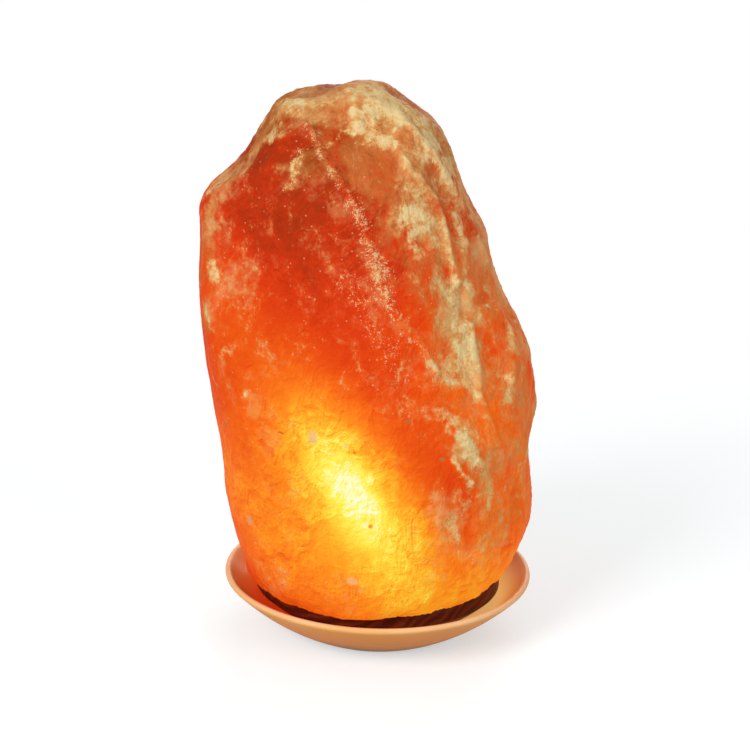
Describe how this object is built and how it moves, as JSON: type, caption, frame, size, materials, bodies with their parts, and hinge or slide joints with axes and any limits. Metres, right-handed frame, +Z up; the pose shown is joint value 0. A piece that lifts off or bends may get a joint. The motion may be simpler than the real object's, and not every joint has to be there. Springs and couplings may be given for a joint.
{
  "type": "salt crystal lamp",
  "caption": "Rough rock-salt crystal on a turned wooden base, lit from a bored cavity by a small screw-cap bulb in a spring-clip holder, standing in a glazed saucer.",
  "frame": {"origin": "centre of the saucer's flat foot, on the table", "axes": "+Z up, through the bulb; -Y towards the viewer; +X to the viewer's right; the cord leaves towards +Y"},
  "size_m": [0.1625, 0.15, 0.27],
  "materials": {
    "salt": "matte",
    "wood": "satin",
    "glaze": "gloss",
    "rubber": "matte",
    "screw_steel": "satin",
    "spring_steel": "satin",
    "plug_nylon": "matte",
    "holder_plastic": "satin",
    "brass": "satin",
    "nickel": "satin",
    "black_glass": "gloss",
    "solder": "satin",
    "clear_glass": "gloss",
    "tungsten": "satin"
  },
  "bodies": {
    "dish": {"drip_dish": "glaze"},
    "lamp": {"salt_crystal": "salt", "wooden_base": "wood", "base_feet": "rubber", "crystal_screws": "screw_steel", "crystal_plugs": "plug_nylon"},
    "holder": {"spring_clip": "spring_steel", "clip_screws": "screw_steel", "holder_cup": "holder_plastic", "cord_grip_bar": "holder_plastic", "cord_grip_screws": "screw_steel", "holder_body": "holder_plastic", "screw_shell": "brass", "centre_contact": "brass", "terminal_blocks": "brass", "terminal_screws": "screw_steel"},
    "bulb_carrier": {"cap_insulator": "black_glass", "bulb_tip": "solder"},
    "bulb": {"bulb_cap": "nickel", "bulb_glass": "clear_glass", "bulb_stem": "clear_glass", "lead_wires": "nickel", "filament_support": "nickel", "filament": "tungsten"}
  },
  "joints": [
    {"name": "lamp_lift", "type": "slide", "parent": "dish", "child": "lamp", "axis": [0, 0, 1], "range_m": [0, 0.12]},
    {"name": "holder_pull", "type": "slide", "parent": "lamp", "child": "holder", "axis": [0, 0, -1], "range_m": [0, 0.09]},
    {"name": "bulb_rise", "type": "slide", "parent": "holder", "child": "bulb_carrier", "axis": [0, 0, 1], "range_m": [0, 0.0113]},
    {"name": "bulb_turn", "type": "hinge", "parent": "bulb_carrier", "child": "bulb", "pos_m": [0, 0, 0.05], "axis": [0, 0, 1], "range_deg": [0, 1440]}
  ],
  "couplings": [
    {"joint": "holder_pull", "follows": "lamp_lift", "ratio": 0.75},
    {"joint": "bulb_rise", "follows": "bulb_turn", "m_per_rad": 0.00044913}
  ]
}
